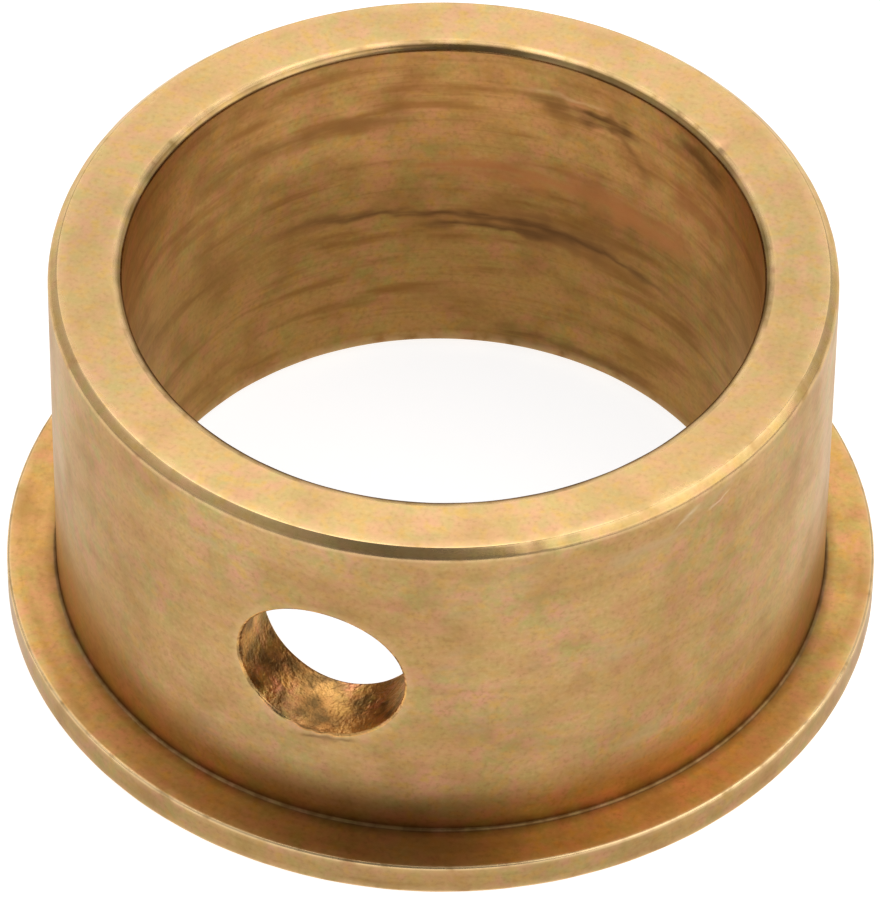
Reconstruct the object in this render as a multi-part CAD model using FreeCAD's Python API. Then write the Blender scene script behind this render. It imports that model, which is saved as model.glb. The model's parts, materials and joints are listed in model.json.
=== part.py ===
"""Flanged bronze sleeve bushing with one radial oil hole.

One turned piece: a thin-walled sleeve with a thin flange at its lower end. Millimetres, +Z up.
The origin is the centre of the flange's lower face, +Z runs along the bore towards the plain
end, and the radial hole opens towards -Y.
"""

import FreeCAD
import Part
import math
import os

INCH = 25.4

# Driving dimensions
sleeve_diameter = 1.375 * INCH  # press-fit outside diameter
bore_diameter = 28.35  # running bore for the shaft
flange_diameter = 39.45
flange_thickness = 1.65
overall_length = 19.32  # from the flange's lower face to the plain end
oil_hole_diameter = 19 / 64 * INCH
oil_hole_height = 10.85  # centre of the hole above the flange's lower face

# Edge finishes
lead_in_chamfer = INCH / 64  # 45 degree chamfer that guides the sleeve into its housing
mouth_bevel_width = 0.31  # bevel at the plain end of the bore, measured along the end face
mouth_bevel_depth = 0.18  # the same bevel, measured down the bore
flange_bore_chamfer = 0.55  # 45 degree chamfer at the flange end of the bore
root_fillet = 0.15  # fillet between the sleeve and the flange's upper face
rim_break = 0.12  # small 45 degree break on both edges of the flange's rim
oil_hole_break = 0.2  # small 45 degree break round both ends of the oil hole

sleeve_radius = sleeve_diameter / 2
bore_radius = bore_diameter / 2
flange_radius = flange_diameter / 2
oil_hole_radius = oil_hole_diameter / 2

AXIS_POINT = FreeCAD.Vector(0, 0, 0)
UP = FreeCAD.Vector(0, 0, 1)
HOLE_DIRECTION = FreeCAD.Vector(0, -1, 0)
FULL_TURN = 360


def section_point(radius, height):
    """A point of the half section, which lies in the XZ plane."""
    return FreeCAD.Vector(radius, 0, height)


def half_section():
    """The closed half section of the bushing as a face, walked from the bore over the flange."""
    root_centre_radius = sleeve_radius + root_fillet
    root_centre_height = flange_thickness + root_fillet
    root_arc_reach = root_fillet * math.sin(math.pi / 4)
    before_root = [
        section_point(bore_radius, flange_bore_chamfer),
        section_point(bore_radius + flange_bore_chamfer, 0),
        section_point(flange_radius - rim_break, 0),
        section_point(flange_radius, rim_break),
        section_point(flange_radius, flange_thickness - rim_break),
        section_point(flange_radius - rim_break, flange_thickness),
        section_point(root_centre_radius, flange_thickness),
    ]
    root_middle = section_point(
        root_centre_radius - root_arc_reach, root_centre_height - root_arc_reach
    )
    after_root = [
        section_point(sleeve_radius, root_centre_height),
        section_point(sleeve_radius, overall_length - lead_in_chamfer),
        section_point(sleeve_radius - lead_in_chamfer, overall_length),
        section_point(bore_radius + mouth_bevel_width, overall_length),
        section_point(bore_radius, overall_length - mouth_bevel_depth),
        before_root[0],
    ]
    edges = [Part.LineSegment(a, b).toShape() for a, b in zip(before_root, before_root[1:])]
    edges.append(Part.Arc(before_root[-1], root_middle, after_root[0]).toShape())
    edges += [Part.LineSegment(a, b).toShape() for a, b in zip(after_root, after_root[1:])]
    return Part.Face(Part.Wire(edges))


def oil_hole_cutter():
    """The drill that cuts the radial hole: from inside the bore out past the sleeve."""
    start = FreeCAD.Vector(0, 0, oil_hole_height)
    return Part.makeCylinder(oil_hole_radius, flange_radius, start, HOLE_DIRECTION)


def oil_hole_rims(bushing):
    """The two closed edges where the radial hole meets the bore and the sleeve's outside."""
    rims = []
    for face in bushing.Faces:
        surface = face.Surface
        if not isinstance(surface, Part.Cylinder):
            continue
        if abs(surface.Axis.dot(HOLE_DIRECTION)) < 1 - 1e-9:
            continue
        rims += [edge for edge in face.Edges if edge.isClosed() and not edge.isSeam(face)]
    return rims


def flanged_bushing():
    """The finished bushing: the turned blank, drilled, with the hole's rims broken."""
    turned = half_section().revolve(AXIS_POINT, UP, FULL_TURN)
    drilled = turned.cut(oil_hole_cutter())
    return drilled.makeChamfer(oil_hole_break, oil_hole_rims(drilled)).Solids[0]


nodes = {"flanged_bushing": flanged_bushing()}

os.makedirs("parts", exist_ok=True)
for node, shape in nodes.items():
    shape.exportStep(f"parts/{node}.step")
    box = shape.BoundBox
    print(
        f"{node}: {shape.ShapeType}, valid {shape.isValid()}, solids {len(shape.Solids)}, "
        f"volume {shape.Volume:.2f} mm3, box {box.XLength:.3f} x {box.YLength:.3f} x {box.ZLength:.3f} mm"
    )
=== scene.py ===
import bpy
import json
import math
from collections import namedtuple
from functools import cached_property
from mathutils import Matrix, Vector, noise


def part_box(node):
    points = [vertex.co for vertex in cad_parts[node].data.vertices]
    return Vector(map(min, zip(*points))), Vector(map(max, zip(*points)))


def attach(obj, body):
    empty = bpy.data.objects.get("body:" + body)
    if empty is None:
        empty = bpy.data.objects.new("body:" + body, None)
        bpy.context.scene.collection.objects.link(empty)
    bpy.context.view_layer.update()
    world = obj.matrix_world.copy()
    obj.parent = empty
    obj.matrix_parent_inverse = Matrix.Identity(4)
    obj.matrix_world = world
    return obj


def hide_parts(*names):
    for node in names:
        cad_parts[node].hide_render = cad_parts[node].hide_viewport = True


# Looks of the flanged bronze bushing. It is one turned piece, so it is rebuilt as one fine mesh
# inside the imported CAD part's box, with a procedural bronze for each kind of machined surface.
# The mesh is worked out in millimetres and scaled to metres once, when it becomes a Blender mesh.
# Azimuths are in degrees from -Y, where the oil hole is, towards +X.

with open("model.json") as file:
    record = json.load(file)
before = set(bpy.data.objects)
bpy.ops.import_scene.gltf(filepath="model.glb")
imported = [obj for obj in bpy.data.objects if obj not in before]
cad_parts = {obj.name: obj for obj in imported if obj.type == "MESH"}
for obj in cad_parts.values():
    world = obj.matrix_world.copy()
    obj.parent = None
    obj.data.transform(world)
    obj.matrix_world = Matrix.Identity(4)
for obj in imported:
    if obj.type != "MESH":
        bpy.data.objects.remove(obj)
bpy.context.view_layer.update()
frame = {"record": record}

MM = 0.001

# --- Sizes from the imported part, in millimetres ----------------------------------------------

NODE = "flanged_bushing"
mounts = {mount["name"]: mount for mount in frame["record"]["mounts"]}
box_low, box_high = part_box(NODE)
bore_radius = mounts["shaft_bore"]["dims"]["r_mm"]
sleeve_radius = mounts["housing_seat"]["dims"]["r_mm"]
hole_radius = mounts["oil_hole"]["dims"]["r_mm"]
hole_height = mounts["oil_hole"]["pos_m"][2] / MM
flange_thickness = mounts["flange_seat"]["pos_m"][2] / MM
flange_radius = min(-box_low.x, -box_low.y, box_high.x, box_high.y) / MM
overall_length = box_high.z / MM

# --- Edge finishes, in millimetres -------------------------------------------------------------

lead_in_chamfer = 0.397
mouth_bevel_width = 0.31
mouth_bevel_depth = 0.18
flange_bore_chamfer = 0.55
root_fillet = 0.15
rim_rounding = 0.12
edge_rounding = 0.05
chamfer_top_rounding = 0.1
chamfer_foot_rounding = 0.3
mouth_lip_rounding = 0.5  # where the bevel at the plain end of the bore meets the end face
mouth_bore_rounding = 0.27  # where it meets the bore
hole_break = 0.14

# --- Mesh fineness -----------------------------------------------------------------------------

columns = 540  # round the axis
patch_columns = 36  # the drilled patch reaches this many columns each side of the hole
patch_rows = 28
patch_half_height = 7.0
ring_count = 10  # rings from the patch's edge to the hole's rim
arc_steps = 5
hole_wall_steps = 12
wall_spacing = 0.5  # between rows on the sleeve and in the bore
face_spacing = 0.35  # between rows everywhere else
support = 0.08  # a row this close to each rounded edge keeps flat stretches flat

# Kinds of surface
BORE, BEVEL, END_FACE, CHAMFER, GROUND, FLANGE, RIM, BASE, HOLE = range(9)
DRILLED_WALLS = (BORE, GROUND)

# Each corner of the turned section: radius, height, rounding, kind of surface that follows it.
corners = [
    (bore_radius, flange_bore_chamfer, edge_rounding, BORE),
    (bore_radius, overall_length - mouth_bevel_depth, mouth_bore_rounding, BEVEL),
    (bore_radius + mouth_bevel_width, overall_length, mouth_lip_rounding, END_FACE),
    (sleeve_radius - lead_in_chamfer, overall_length, chamfer_top_rounding, CHAMFER),
    (sleeve_radius, overall_length - lead_in_chamfer, chamfer_foot_rounding, GROUND),
    (sleeve_radius, flange_thickness, root_fillet, FLANGE),
    (flange_radius, flange_thickness, rim_rounding, RIM),
    (flange_radius, 0.0, rim_rounding, BASE),
    (bore_radius + flange_bore_chamfer, 0.0, edge_rounding, BEVEL),
]
ROOT = 5  # the one inside corner


# --- The turned section --------------------------------------------------------------------------


def corner_arc(before, corner, after, radius):
    """Points of the round that replaces a corner, from one tangent point to the other."""
    into = (corner - before).normalized()
    out = (after - corner).normalized()
    turn = math.atan2(into.cross(out), into.dot(out))
    reach = radius * math.tan(abs(turn) / 2)
    side = Vector((-into.y, into.x)) * math.copysign(radius, turn)
    centre = corner - into * reach + side
    points = []
    for step in range(arc_steps + 1):
        angle = turn * step / arc_steps
        points.append(centre + Matrix.Rotation(angle, 2) @ -side)
    return points


def between(start, end, spacing):
    """Points inside a straight stretch: a support row at each end and even rows between."""
    length = (end - start).length
    if length < 4 * support:
        return [start.lerp(end, 0.5)]
    first, last = support / length, 1 - support / length
    count = max(1, round((length - 2 * support) / spacing))
    return [start.lerp(end, first + (last - first) * i / count) for i in range(count + 1)]


patch_bottom = hole_height - patch_half_height
patch_heights = [
    patch_bottom + 2 * patch_half_height * i / patch_rows for i in range(patch_rows + 1)
]


def wall_between(start, end):
    """Points inside a wall that the oil hole goes through: its rows hold the drilled patch's."""
    heights = patch_heights if end.y > start.y else patch_heights[::-1]
    first_part = between(start, Vector((start.x, heights[0])), wall_spacing)
    last_part = between(Vector((start.x, heights[-1])), end, wall_spacing)
    return first_part[:-1] + [Vector((start.x, z)) for z in heights] + last_part[1:]


def section():
    """The closed section, as rows of (point, kind of the surface after it)."""
    arcs = []
    for i, (radius, height, rounding, _) in enumerate(corners):
        before = Vector(corners[i - 1][:2])
        after = Vector(corners[(i + 1) % len(corners)][:2])
        arcs.append(corner_arc(before, Vector((radius, height)), after, rounding))
    rows = []
    for i, arc in enumerate(arcs):
        kind = corners[i][3]
        arc_kind = corners[i - 1][3] if i == ROOT else kind
        next_arc = arcs[(i + 1) % len(arcs)]
        if kind in DRILLED_WALLS:
            inside = wall_between(arc[-1], next_arc[0])
        else:
            inside = between(arc[-1], next_arc[0], face_spacing)
        rows += [(point, arc_kind) for point in arc[:-1]]
        rows += [(point, kind) for point in arc[-1:] + inside]
    return rows


# --- The mesh ------------------------------------------------------------------------------------


class Surface:
    """The mesh while it is built, in millimetres, with the kind of surface of each face."""

    def __init__(self):
        self.places = []
        self.faces = []
        self.kinds = []

    def vertex(self, place):
        self.places.append(Vector(place))
        return len(self.places) - 1

    def face(self, vertices, kind):
        self.faces.append(vertices)
        self.kinds.append(kind)

    def band(self, first, second, kind, flip=False):
        """The faces between two closed rings of vertices."""
        for i in range(len(first)):
            j = (i + 1) % len(first)
            quad = (first[i], first[j], second[j], second[i])
            self.face(quad[::-1] if flip else quad, kind)


def on_wall(radius, angle, height):
    """A point at an angle round the axis, counted from the oil hole."""
    return radius * math.sin(angle), -radius * math.cos(angle), height


class TurnedGrid:
    """The section's rows turned round the axis. A vertex is made when a face first needs it."""

    def __init__(self, surface, rows):
        self.surface = surface
        self.rows = rows
        self.made = {}

    def vertex(self, row, column):
        row, column = row % len(self.rows), column % columns
        if (row, column) not in self.made:
            point = self.rows[row][0]
            place = on_wall(point.x, 2 * math.pi * column / columns, point.y)
            self.made[row, column] = self.surface.vertex(place)
        return self.made[row, column]

    def in_patch(self, row, column):
        """Whether the square after a row and a column is left to a drilled patch."""
        point, kind = self.rows[row]
        if kind not in DRILLED_WALLS:
            return False
        centred = (column + columns // 2) % columns - columns // 2
        if not -patch_columns <= centred < patch_columns:
            return False
        middle = (point.y + self.rows[(row + 1) % len(self.rows)][0].y) / 2
        return patch_heights[0] < middle < patch_heights[-1]

    def build(self):
        for row, (_, kind) in enumerate(self.rows):
            for column in range(columns):
                if self.in_patch(row, column):
                    continue
                near = (self.vertex(row, column), self.vertex(row + 1, column))
                far = (self.vertex(row + 1, column + 1), self.vertex(row, column + 1))
                self.surface.face(near + far, kind)

    def row_at(self, kind, height):
        for row, (point, row_kind) in enumerate(self.rows):
            if row_kind == kind and math.isclose(point.y, height, abs_tol=1e-5):
                return row

    def patch_outline(self, kind):
        """The vertices round a drilled patch, anticlockwise from outside, with their places in it."""
        low = self.row_at(kind, patch_heights[0])
        high = self.row_at(kind, patch_heights[-1])
        step = 1 if high > low else -1
        walk = [(low, c) for c in range(-patch_columns, patch_columns)]
        walk += [(r, patch_columns) for r in range(low, high, step)]
        walk += [(high, c) for c in range(patch_columns, -patch_columns, -1)]
        walk += [(r, -patch_columns) for r in range(high, low, -step)]
        outline = []
        for row, column in walk:
            point = self.rows[row][0]
            along = 2 * math.pi * column / columns * point.x
            outline.append((self.vertex(row, column), Vector((along, point.y - hole_height))))
        return outline


def drilled_patch(surface, outline, kind, wall_radius, outward):
    """Rings from a patch's outline to the hole's rim and round its broken edge. Returns the last."""
    bearings = [math.atan2(place.y, place.x) for _, place in outline]
    rim_radius = hole_radius + hole_break
    previous = [vertex for vertex, _ in outline]
    for ring in range(1, ring_count + 1):
        vertices = []
        for (_, place), bearing in zip(outline, bearings):
            rim_along = wall_radius * math.asin(rim_radius * math.cos(bearing) / wall_radius)
            rim_place = Vector((rim_along, rim_radius * math.sin(bearing)))
            at = place.lerp(rim_place, ring / ring_count)
            vertices.append(surface.vertex(on_wall(wall_radius, at.x / wall_radius, hole_height + at.y)))
        surface.band(previous, vertices, kind, not outward)
        previous = vertices
    into_wall = -hole_break if outward else hole_break
    for step in range(1, arc_steps + 1):
        turn = math.pi / 2 * step / arc_steps
        reach = rim_radius - hole_break * math.sin(turn)
        depth = into_wall * (1 - math.cos(turn))
        vertices = []
        for bearing in bearings:
            x = reach * math.cos(bearing)
            y = -math.sqrt(wall_radius**2 - x * x) - depth
            vertices.append(surface.vertex((x, y, hole_height + reach * math.sin(bearing))))
        surface.band(previous, vertices, HOLE, not outward)
        previous = vertices
    return previous


def drill_wall(surface, outer_ring, inner_ring):
    """The hole's wall between its two rims."""
    previous = outer_ring
    for step in range(1, hole_wall_steps):
        share = step / hole_wall_steps
        vertices = [
            surface.vertex(surface.places[a].lerp(surface.places[b], share))
            for a, b in zip(outer_ring, inner_ring)
        ]
        surface.band(previous, vertices, HOLE)
        previous = vertices
    surface.band(previous, inner_ring, HOLE)


# --- Wear ------------------------------------------------------------------------------------------

edge_reach = 0.15  # how far edge wear reaches from an edge
edge_loss = 0.018  # the most that wear takes off an edge
root_grime_and_shade_reach = 0.24  # how far the grime and painted shade reach from the root of the flange

# Dings in the edges: azimuth, distance from the axis, height, size and depth.
dings = [
    (30.5, sleeve_radius - 0.38, overall_length, 0.45, 0.025),
    (35.0, sleeve_radius - 0.3, overall_length, 0.55, 0.04),
    (41.0, sleeve_radius, overall_length - 0.4, 0.5, 0.03),
    (-32.0, sleeve_radius - 0.3, overall_length, 0.45, 0.03),
    (140.0, bore_radius + 0.25, overall_length, 0.3, 0.06),
    (232.0, sleeve_radius - 0.2, overall_length - 0.1, 0.25, 0.06),
    (75.0, flange_radius, flange_thickness, 0.25, 0.06),
    (-20.0, flange_radius, flange_thickness, 0.3, 0.05),
    (165.0, flange_radius, flange_thickness, 0.35, 0.07),
    (262.0, flange_radius, 0.0, 0.4, 0.08),
    (-4.2, sleeve_radius, hole_height - hole_radius, 0.28, 0.12),
    (-1.0, sleeve_radius, hole_height - hole_radius - 0.12, 0.16, 0.08),
    (1.2, sleeve_radius, hole_height - hole_radius - 0.1, 0.24, 0.12),
    (4.5, sleeve_radius, hole_height - hole_radius * 0.9, 0.2, 0.08),
    (-9.5, sleeve_radius, hole_height - hole_radius * 0.65, 0.3, 0.08),
]


def edge_closeness(place):
    """From 0 on open surfaces to 1 on an outside edge or a rim of the oil hole."""
    radius = math.hypot(place.x, place.y)
    nearest = min(
        math.hypot(radius - corner[0], place.z - corner[1])
        for i, corner in enumerate(corners)
        if i != ROOT
    )
    if place.y < 0:
        from_hole_axis = math.hypot(place.x, place.z - hole_height)
        for wall_radius in (bore_radius, sleeve_radius):
            rim = math.hypot(from_hole_axis - hole_radius, radius - wall_radius)
            nearest = min(nearest, rim)
    return math.exp(-((nearest / edge_reach) ** 2))


def root_closeness(place):
    """From 0 to 1 in the corner between the sleeve and the flange."""
    radius = math.hypot(place.x, place.y)
    distance = math.hypot(radius - sleeve_radius, place.z - flange_thickness)
    return math.exp(-((distance / root_grime_and_shade_reach) ** 2))


def ding_depth(place):
    depth = 0.0
    for azimuth, radius, height, size, full_depth in dings:
        centre = Vector(on_wall(radius, math.radians(azimuth), height))
        distance = (place - centre).length
        if distance < 3 * size:
            depth = max(depth, full_depth * math.exp(-((distance / size) ** 2)))
    return depth


def bushing_mesh():
    surface = Surface()
    grid = TurnedGrid(surface, section())
    grid.build()
    outer_ring = drilled_patch(surface, grid.patch_outline(GROUND), GROUND, sleeve_radius, True)
    inner_ring = drilled_patch(surface, grid.patch_outline(BORE), BORE, bore_radius, False)
    drill_wall(surface, outer_ring, inner_ring)

    mesh = bpy.data.meshes.new("bushing")
    mesh.from_pydata([place * MM for place in surface.places], [], surface.faces)
    mesh.shade_smooth()
    inward = [-vertex.normal for vertex in mesh.vertices]
    edge = mesh.attributes.new("edge", "FLOAT", "POINT")
    root = mesh.attributes.new("root", "FLOAT", "POINT")
    for i, place in enumerate(surface.places):
        closeness = edge_closeness(place)
        uneven = 0.5 + 0.6 * noise.noise(place * 0.8)
        loss = max(edge_loss * closeness * uneven, ding_depth(place))
        mesh.vertices[i].co += inward[i] * loss * MM
        edge.data[i].value = closeness
        root.data[i].value = root_closeness(place)
    return mesh, surface.kinds


# --- Bronze ----------------------------------------------------------------------------------------


class Wiring:
    """Short forms for wiring a material's nodes. A value is a plain number or another node's output."""

    def __init__(self, tree):
        self.tree = tree

    def node(self, kind, **settings):
        made = self.tree.nodes.new("ShaderNode" + kind)
        for name, value in settings.items():
            setattr(made, name, value)
        return made

    def plug(self, socket, value):
        if isinstance(value, bpy.types.NodeSocket):
            self.tree.links.new(value, socket)
        else:
            socket.default_value = value

    def math(self, operation, *values):
        made = self.node("Math", operation=operation)
        for socket, value in zip(made.inputs, values):
            self.plug(socket, value)
        return made.outputs[0]

    def eased(self, value, low, high, start=0.0, end=1.0):
        """start up to low and end beyond high, eased between. low may be the larger."""
        made = self.node("MapRange", interpolation_type="SMOOTHSTEP")
        for socket, number in zip(made.inputs, (value, low, high, start, end)):
            self.plug(socket, number)
        return made.outputs[0]

    def mix(self, share, first, second, blend="MIX"):
        """A blend of two colours."""
        made = self.node("Mix", data_type="RGBA", blend_type=blend)
        for number, value in ((0, share), (6, first), (7, second)):
            self.plug(made.inputs[number], value)
        return made.outputs[2]

    def noise(self, vector, scale, detail=2.0, w=None):
        made = self.node("TexNoise", noise_dimensions="3D" if w is None else "4D")
        self.plug(made.inputs["Vector"], vector)
        made.inputs["Scale"].default_value = scale
        made.inputs["Detail"].default_value = detail
        if w is not None:
            self.plug(made.inputs["W"], w)
        return made.outputs["Fac"]

    def attribute(self, name):
        return self.node("Attribute", attribute_name=name).outputs["Fac"]


class Places(Wiring):
    """Where on the bushing a shading point is, in millimetres."""

    def __init__(self, tree):
        super().__init__(tree)
        scaled = self.node("VectorMath", operation="SCALE")
        self.plug(scaled.inputs[0], self.node("TexCoord").outputs["Object"])
        scaled.inputs["Scale"].default_value = 1 / MM
        self.point = scaled.outputs[0]
        parts = self.node("SeparateXYZ")
        self.plug(parts.inputs[0], self.point)
        self.x, self.y, self.z = parts.outputs
        across = self.math("MULTIPLY", self.x, self.x)
        self.radius = self.math("SQRT", self.math("MULTIPLY_ADD", self.y, self.y, across))

    def turned(self, length, pitch, detail=3.0):
        """Noise drawn out round the axis, as a lathe tool leaves it: fine along the section."""
        stretched = self.node("CombineXYZ")
        self.plug(stretched.inputs[0], self.math("DIVIDE", self.x, length))
        self.plug(stretched.inputs[1], self.math("DIVIDE", self.y, length))
        self.plug(stretched.inputs[2], self.math("DIVIDE", self.z, pitch))
        return self.noise(stretched.outputs[0], 1.0, detail, self.math("DIVIDE", self.radius, pitch))

    @cached_property
    def bands(self):
        return self.turned(5.0, 0.8)

    @cached_property
    def lines(self):
        return self.turned(5.0, 0.16)

    @cached_property
    def strokes(self):
        return self.turned(2.5, 0.4)

    def around(self, azimuth, wall_radius):
        """Distance round a wall from an azimuth, growing with the azimuth."""
        turned = math.radians(azimuth)
        out = self.math("MULTIPLY", self.x, math.sin(turned))
        out = self.math("MULTIPLY_ADD", self.y, -math.cos(turned), out)
        along = self.math("MULTIPLY", self.x, math.cos(turned))
        along = self.math("MULTIPLY_ADD", self.y, math.sin(turned), along)
        return self.math("MULTIPLY", self.math("ARCTAN2", along, out), wall_radius)


def shade(colour, red, green, blue):
    return colour[0] * red, colour[1] * green, colour[2] * blue, 1.0


# bright worn metal, also painted as a highlight along the edges
BRIGHT = (0.86, 0.61, 0.32, 1.0)
OXIDE = (0.25, 0.115, 0.035, 1.0)
# dirt, and painted shade in the flange's root
GRIME_AND_SHADE = (0.12, 0.056, 0.018, 1.0)
SOOT = (0.095, 0.042, 0.014, 1.0)
RUST = (0.36, 0.135, 0.045, 1.0)
SCUFF = (0.42, 0.295, 0.155, 1.0)
SCRAPE = (0.82, 0.66, 0.46, 1.0)
SMUDGE = (0.36, 0.27, 0.15, 1.0)
OLD_OIL = (0.155, 0.095, 0.035, 1.0)

# A film and painted shade that darken the metal under them
BROWNED = (0.74, 0.68, 0.58, 1.0)
# painted shade along the mouth of the bore
LIP_SHADE = (0.5, 0.47, 0.4, 1.0)
# painted shade deeper in the bore
DEPTH_SHADE = (0.55, 0.53, 0.47, 1.0)

# What the bronze reflects edge on: less where the surface is oily
DRY = (0.94, 0.86, 0.74, 1.0)
OILY = (0.93, 0.8, 0.62, 1.0)

Finish = namedtuple("Finish", "metal rough turned grain mottle patina streaks edge edge_on")

# What each kind of machining leaves: the metal's colour, its roughness, how much rougher it is
# across the turning marks than along them, how deep the grain is in millimetres, how strongly its
# tints vary, how much the patina and the streaks show, how bright the edges are rubbed and painted
# as a highlight, and what the surface reflects edge on.
FINISHES = {
    "faced": Finish((0.59, 0.385, 0.175), 0.29, 0.8, 0.0026, 1.3, 0.12, 0.08, 0.35, DRY),
    "bevelled": Finish((0.48, 0.31, 0.13), 0.30, 0.0, 0.0012, 1.0, 0.3, 0.1, 0.15, DRY),
    "chamfered": Finish((0.56, 0.37, 0.148), 0.26, 0.0, 0.0016, 1.4, 0.35, 0.2, 0.5, DRY),
    "ground": Finish((0.505, 0.326, 0.144), 0.31, 0.0, 0.0034, 2.0, 0.35, 0.2, 0.4, DRY),
    "flange": Finish((0.615, 0.355, 0.124), 0.31, 0.6, 0.0024, 1.8, 0.4, 0.3, 1.0, DRY),
    "rim": Finish((0.4, 0.25, 0.102), 0.31, 0.0, 0.0024, 1.8, 0.4, 0.3, 1.0, DRY),
    "bored": Finish((0.545, 0.304, 0.104), 0.34, 0.0, 0.0040, 2.0, 0.4, 0.8, 0.3, OILY),
    "drilled": Finish((0.7, 0.4, 0.14), 0.33, 0.0, 0.065, 3.0, 0.9, 0.0, 0.1, OILY),
}


def bronze(finish_name, marks):
    """The material of one kind of machined surface, with any marks drawn over it."""
    finish = FINISHES[finish_name]
    material = bpy.data.materials.new("bronze_" + finish_name)
    material.use_nodes = True
    at = Places(material.node_tree)
    shader = material.node_tree.nodes["Principled BSDF"]
    metal = finish.metal

    # Mottling in pinkish, greenish and ochre tints, and a finer grain of dark and light specks
    tint = 0.06 * finish.mottle
    pink = shade(metal, 1 + tint, 1 - tint, 1 + 1.5 * tint)
    green = shade(metal, 1 - 1.6 * tint, 1 + 0.3 * tint, 1 - 1.5 * tint)
    ochre = shade(metal, 1 + 0.5 * tint, 1.0, 0.7)
    colour = at.mix(at.eased(at.noise(at.point, 1.1, 3.0), 0.3, 0.7), pink, green)
    colour = at.mix(at.eased(at.noise(at.point, 1.6, 2.0), 0.45, 0.75), colour, ochre)
    warmth = at.eased(at.noise(at.point, 0.28, 2.0), 0.35, 0.65, 0.0, 0.3 * finish.mottle)
    colour = at.mix(warmth, colour, shade(metal, 1.0, 0.92, 0.8))
    speckle = at.noise(at.point, 4.5, 4.0)
    dark_specks = at.eased(speckle, 0.5, 0.72, 0.0, 0.3 * finish.mottle)
    colour = at.mix(dark_specks, colour, shade(metal, 0.76, 0.7, 0.64))
    light_specks = at.eased(speckle, 0.5, 0.28, 0.0, 0.25 * finish.mottle)
    colour = at.mix(light_specks, colour, shade(metal, 1.12, 1.14, 1.18))

    # Patina in soft clouds, and streaks round the axis
    clouds = at.noise(at.point, 0.45, 4.0)
    patina = at.eased(clouds, 0.45, 0.75, 0.0, finish.patina)
    colour = at.mix(patina, colour, shade(metal, 0.62, 0.5, 0.4))
    if finish.streaks:
        streaks = at.eased(at.bands, 0.45, 0.72, 0.0, finish.streaks)
        colour = at.mix(streaks, colour, shade(metal, 0.6, 0.46, 0.34))
        scratches = at.eased(at.lines, 0.54, 0.7, 0.0, 0.3 * finish.streaks)
        colour = at.mix(scratches, colour, shade(metal, 0.6, 0.5, 0.4))
    for mark in marks:
        colour = mark(at, colour)

    # Edges rubbed bright, unevenly, with a painted highlight along them, and grime and painted shade in
    # the flange's root
    uneven = at.eased(at.noise(at.point, 1.2, 3.0), 0.2, 0.55)
    rubbed_and_highlit = at.math("MULTIPLY", at.attribute("edge"), uneven)
    colour = at.mix(at.math("MULTIPLY", rubbed_and_highlit, finish.edge), colour, BRIGHT)
    # the flange's root is painted darker: grime, and painted shade in the inside corner
    caked_and_shaded = at.eased(at.noise(at.point, 1.6, 3.0), 0.35, 0.65, 0.7, 1.0)
    colour = at.mix(at.math("MULTIPLY", at.attribute("root"), caked_and_shaded), colour, GRIME_AND_SHADE)
    at.plug(shader.inputs["Base Color"], colour)
    shader.inputs["Metallic"].default_value = 1.0
    shader.inputs["Specular Tint"].default_value = finish.edge_on

    roughness = at.eased(clouds, 0.3, 0.7, finish.rough - 0.03, finish.rough + 0.05)
    roughness = at.math("MULTIPLY_ADD", at.lines, 0.06, roughness)
    roughness = at.math("MULTIPLY_ADD", rubbed_and_highlit, -0.1, roughness)
    at.plug(shader.inputs["Roughness"], roughness)
    if finish.turned:
        round_axis = at.node("Tangent", direction_type="RADIAL", axis="Z")
        at.plug(shader.inputs["Tangent"], round_axis.outputs[0])
        shader.inputs["Anisotropic"].default_value = finish.turned
        shader.inputs["Anisotropic Rotation"].default_value = 0.25

    # Relief in millimetres: turning marks, and the grain of a cast and handled metal
    grain = at.math("MULTIPLY", at.noise(at.point, 5.0, 3.0), finish.grain)
    relief = at.math("MULTIPLY_ADD", at.lines, 0.0008, grain)
    bump = at.node("Bump")
    bump.inputs["Distance"].default_value = MM
    at.plug(bump.inputs["Height"], relief)
    at.plug(shader.inputs["Normal"], bump.outputs[0])
    return material


def wall_mark(wall_radius, azimuth, half_length, height, slope, bend, half_width, strength, colour):
    """A line or smear on a wall: where its middle is, how it rises and bends, and how it shows."""

    def draw(at, under):
        along = at.around(azimuth, wall_radius)
        line = at.math("MULTIPLY_ADD", along, bend, slope)
        line = at.math("MULTIPLY_ADD", along, line, height)
        wander = at.math("MULTIPLY_ADD", at.noise(at.point, 0.5, 4.0), 0.9, -0.45)
        off_line = at.math("ABSOLUTE", at.math("ADD", at.math("SUBTRACT", at.z, line), wander))
        width = at.eased(at.noise(at.point, 0.8, 1.0), 0.3, 0.7, half_width * 0.6, half_width * 1.5)
        across = at.eased(off_line, width, 0.0)
        ends = at.eased(at.math("ABSOLUTE", along), half_length, half_length * 0.5, 0.0, strength)
        broken = at.eased(at.strokes, 0.3, 0.55, 0.4, 1.0)
        shown = at.math("MULTIPLY", at.math("MULTIPLY", across, ends), broken)
        return at.mix(shown, under, colour)

    return draw


def sleeve_patina(at, under):
    """Warm brown patina on the ground sleeve, in wide patches all round it."""
    patches = at.eased(at.noise(at.point, 0.12, 4.0), 0.35, 0.65, 0.1, 0.7)
    return at.mix(patches, under, BROWNED, "MULTIPLY")


def lip_painted_shade(at, under):
    """A dark broken line painted all along the mouth of the bore: painted shade on the rounded lip."""
    broken = at.eased(at.noise(at.point, 0.25, 3.0), 0.4, 0.6)
    lip_radius = bore_radius + mouth_bevel_width
    on_lip = at.eased(at.radius, lip_radius + 0.16, lip_radius + 0.06)
    return at.mix(at.math("MULTIPLY", broken, on_lip), under, LIP_SHADE, "MULTIPLY")


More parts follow.
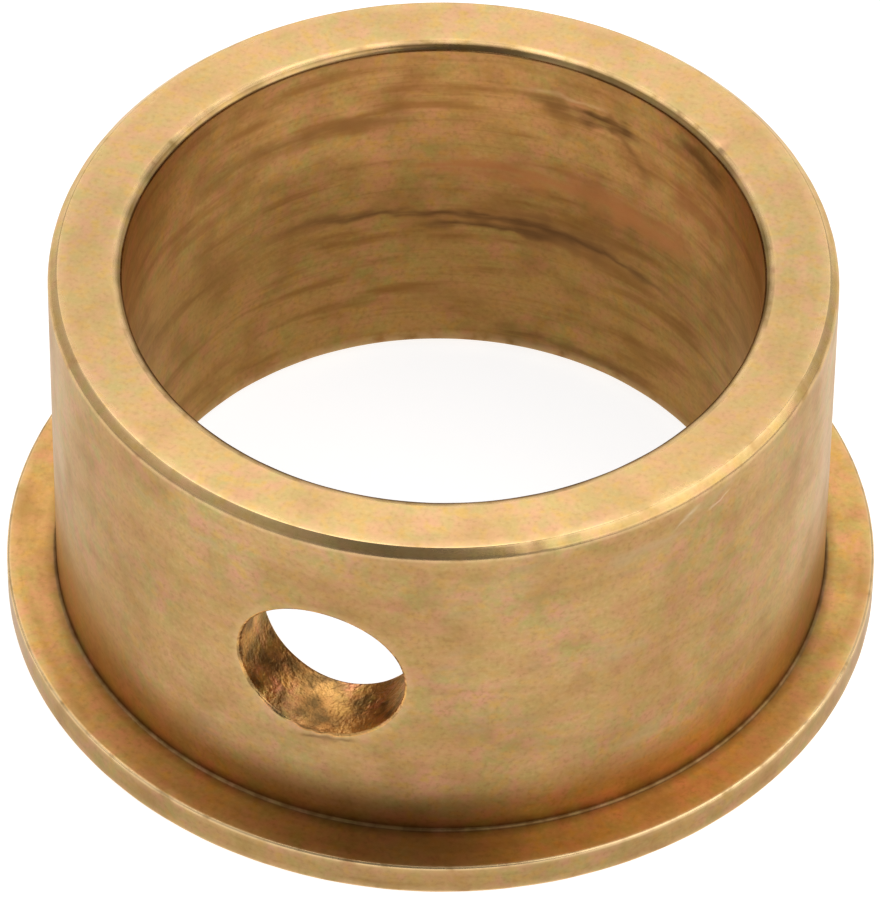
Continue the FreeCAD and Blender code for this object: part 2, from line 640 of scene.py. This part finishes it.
unshaded_above = 19.0  # heights between which the painted shade deeper in the bore sets in
shaded_below = 11.0


def bore_depth_shade(at, under):
    """The bore is painted darker away from its mouth, all round: painted shade deeper in the bore."""
    uneven = at.math("MULTIPLY_ADD", at.noise(at.point, 0.25, 3.0), 4.0, at.z)
    deep = at.eased(uneven, unshaded_above, shaded_below)
    return at.mix(deep, under, DEPTH_SHADE, "MULTIPLY")


def smudges(at, under):
    """Sparse soft greyish smudges on the ground sleeve."""
    spots = at.eased(at.noise(at.point, 0.4, 2.0), 0.54, 0.74)
    spots = at.math("MULTIPLY", spots, at.eased(at.strokes, 0.4, 0.62, 0.0, 0.4))
    return at.mix(spots, under, SMUDGE)


def hole_grime(at, under):
    """Old oil in patches over the wall of the drilled hole."""
    patches = at.eased(at.noise(at.point, 1.0, 4.0), 0.42, 0.66, 0.0, 0.85)
    return at.mix(patches, under, OLD_OIL)


# Each mark's azimuth, half length, height, slope, bend, half width, strength and colour, in the
# order that wall_mark takes them after the wall's radius
BORE_MARKS = [
    (225.0, 7.5, 14.9, 0.01, 0.0, 0.9, 0.6, OXIDE),  # soft arc high up
    (181.0, 7.0, 11.7, 0.04, 0.0, 1.2, 0.8, RUST),  # reddish bands above the line
    (156.0, 3.0, 11.5, 0.0, 0.0, 1.6, 0.8, RUST),
    (144.0, 2.2, 14.7, 0.0, 0.0, 1.6, 0.7, RUST),
    (175.5, 4.6, 8.4, 0.03, 0.0, 1.5, 1.0, OXIDE),  # brown patch where the lines meet
    (175.0, 3.2, 8.4, 0.03, 0.0, 1.0, 0.9, SOOT),
    (191.0, 13.5, 8.72, 0.077, -0.0015, 0.9, 0.6, OXIDE),  # haze round the long line
    (188.0, 12.0, 8.7, 0.077, -0.0015, 0.4, 0.8, SOOT),  # the long thin line
    (189.0, 3.8, 8.1, 0.0, 0.0, 0.4, 0.85, SOOT),  # its shorter twin
    (171.0, 3.8, 16.5, 0.05, 0.0, 0.9, 0.9, OXIDE),  # stain near the mouth
    (166.5, 1.7, 16.5, 0.0, 0.0, 0.7, 1.0, SOOT),
    (161.5, 1.6, 15.6, 1.05, 0.0, 0.9, 0.7, OXIDE),
    (143.0, 2.2, 17.9, 0.0, 0.0, 1.0, 0.6, SOOT),
    (195.0, 3.0, 3.4, 0.0, 0.0, 0.9, 0.5, OXIDE),  # stains low down
    (173.0, 5.0, 1.2, 0.0, 0.0, 0.9, 0.6, SOOT),
    (174.5, 2.4, 17.2, -0.07, 0.0, 0.25, 0.35, BRIGHT),  # light scratch
]
SLEEVE_MARKS = [
    (58.5, 2.2, 18.2, 0.25, 0.0, 0.4, 0.5, SCUFF),  # scrapes under the chamfer
    (55.0, 0.9, 18.0, 0.5, 0.0, 0.16, 0.3, SCRAPE),
    (61.0, 0.8, 17.9, 0.3, 0.0, 0.16, 0.3, SCRAPE),
    (48.5, 2.6, 17.3, 0.12, 0.0, 0.7, 0.5, SCUFF),
    (45.5, 1.4, 11.3, 0.1, 0.0, 0.6, 0.4, SCUFF),
    (49.0, 1.8, 5.4, 0.2, 0.0, 0.6, 0.4, SCUFF),
    (-18.0, 1.2, 16.6, 0.1, 0.0, 0.4, 0.4, SCUFF),
    (1.5, 1.5, 6.8, 0.12, 0.0, 0.25, 0.7, GRIME_AND_SHADE),  # dirt under the hole
]

FINISH_OF_KIND = {
    BORE: "bored",
    BEVEL: "bevelled",
    END_FACE: "faced",
    CHAMFER: "chamfered",
    GROUND: "ground",
    FLANGE: "flange",
    RIM: "rim",
    BASE: "flange",
    HOLE: "drilled",
}
MARKS = {
    "faced": [lip_painted_shade],
    "bevelled": [lip_painted_shade],
    "ground": [sleeve_patina, smudges] + [wall_mark(sleeve_radius, *mark) for mark in SLEEVE_MARKS],
    "bored": [bore_depth_shade] + [wall_mark(bore_radius, *mark) for mark in BORE_MARKS],
    "drilled": [hole_grime],
}

bushing_data, face_kinds = bushing_mesh()
bushing = bpy.data.objects.new("bushing", bushing_data)
bpy.context.scene.collection.objects.link(bushing)
finish_names = list(FINISHES)
for finish_name in finish_names:
    bushing_data.materials.append(bronze(finish_name, MARKS.get(finish_name, [])))
for polygon, kind in zip(bushing_data.polygons, face_kinds):
    polygon.material_index = finish_names.index(FINISH_OF_KIND[kind])

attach(bushing, "root")
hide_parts(NODE)

# --- Stage, light and camera -------------------------------------------------------------------------

floor_reach = 0.6
floor_grey = 0.4
floor_glow = 0.86  # the floor is a product table lit from below
floor_data = bpy.data.meshes.new("floor")
floor_data.from_pydata(
    [(x * floor_reach, y * floor_reach, 0) for x, y in ((-1, -1), (1, -1), (1, 1), (-1, 1))],
    [],
    [(0, 1, 2, 3)],
)
floor_material = bpy.data.materials.new("pale_floor")
floor_material.use_nodes = True
floor_shader = floor_material.node_tree.nodes["Principled BSDF"]
floor_shader.inputs["Base Color"].default_value = (floor_grey, floor_grey, floor_grey, 1)
floor_shader.inputs["Roughness"].default_value = 0.7
floor_shader.inputs["Emission Color"].default_value = (1, 1, 1, 1)
floor_shader.inputs["Emission Strength"].default_value = floor_glow
floor_data.materials.append(floor_material)
floor = bpy.data.objects.new("floor", floor_data)
bpy.context.scene.collection.objects.link(floor)

view_azimuth = 17.53
view_elevation = 45.917
view_roll = 0.614
view_distance = 0.39885
aim = Vector((-0.00008, 0, 0.00772))


def direction(azimuth, elevation):
    """The unit vector from the bushing towards an azimuth and elevation."""
    level = math.cos(math.radians(elevation))
    turned = math.radians(azimuth)
    return Vector((math.sin(turned) * level, -math.cos(turned) * level, math.sin(math.radians(elevation))))


def facing(azimuth, elevation, roll, distance):
    """The pose of a camera or light that looks at the bushing from a direction."""
    towards = direction(azimuth, elevation)
    turn = towards.to_track_quat("Z", "Y").to_matrix() @ Matrix.Rotation(math.radians(roll), 3, "Z")
    return Matrix.Translation(aim + towards * distance) @ turn.to_4x4()


camera_data = bpy.data.cameras.new("camera")
camera_data.sensor_width = 36
camera_data.lens = 354.89
camera_data.clip_start = 0.01
camera = bpy.data.objects.new("camera", camera_data)
camera.matrix_world = facing(view_azimuth, view_elevation, view_roll, view_distance)
bpy.context.scene.collection.objects.link(camera)
bpy.context.scene.camera = camera


light_distance = 0.5


def softbox(name, azimuth, elevation, width, height, radiance):
    """A diffuser that faces the bushing, as bright as the radiance says."""
    data = bpy.data.lights.new(name, "AREA")
    data.shape = "RECTANGLE"
    data.size = width
    data.size_y = height
    data.energy = radiance * math.pi * width * height
    light = bpy.data.objects.new(name, data)
    light.matrix_world = facing(azimuth, elevation, 0, light_distance)
    bpy.context.scene.collection.objects.link(light)


softbox("back_light", view_azimuth + 180, 46, 0.34, 0.46, 0.62)
softbox("key_light", view_azimuth + 71, 44, 0.66, 0.54, 1.1)
softbox("left_light", view_azimuth - 100, 48, 0.4, 0.36, 0.3)
softbox("top_light", view_azimuth - 167, 70, 0.3, 0.3, 1.15)


opening_azimuth = view_azimuth - 5
opening_radiance = 0.19
tent_radiance = 0.66


def light_tent():
    """A white tent round the bushing, with a dark opening on the side that it is viewed from."""
    world = bpy.data.worlds.new("light_tent")
    world.use_nodes = True
    at = Wiring(world.node_tree)
    background = world.node_tree.nodes["Background"]

    def share(towards):
        """How far a direction in the tent goes towards another."""
        dot = at.node("VectorMath", operation="DOT_PRODUCT")
        at.plug(dot.inputs[0], at.node("TexCoord").outputs["Generated"])
        dot.inputs[1].default_value = towards
        return dot.outputs["Value"]

    sideways = at.math("ABSOLUTE", share(direction(opening_azimuth + 90, 0)))
    behind = at.math("MAXIMUM", at.math("SUBTRACT", 0.1, share(direction(opening_azimuth, 0))), 0.0)
    off_opening = at.math("MULTIPLY_ADD", behind, 3.0, sideways)
    strength = at.eased(off_opening, 0.15, 0.7, opening_radiance, tent_radiance)
    at.plug(background.inputs["Strength"], strength)
    background.inputs["Color"].default_value = (1, 1, 1, 1)
    return world


bpy.context.scene.world = light_tent()
bpy.context.scene.view_settings.view_transform = "Standard"
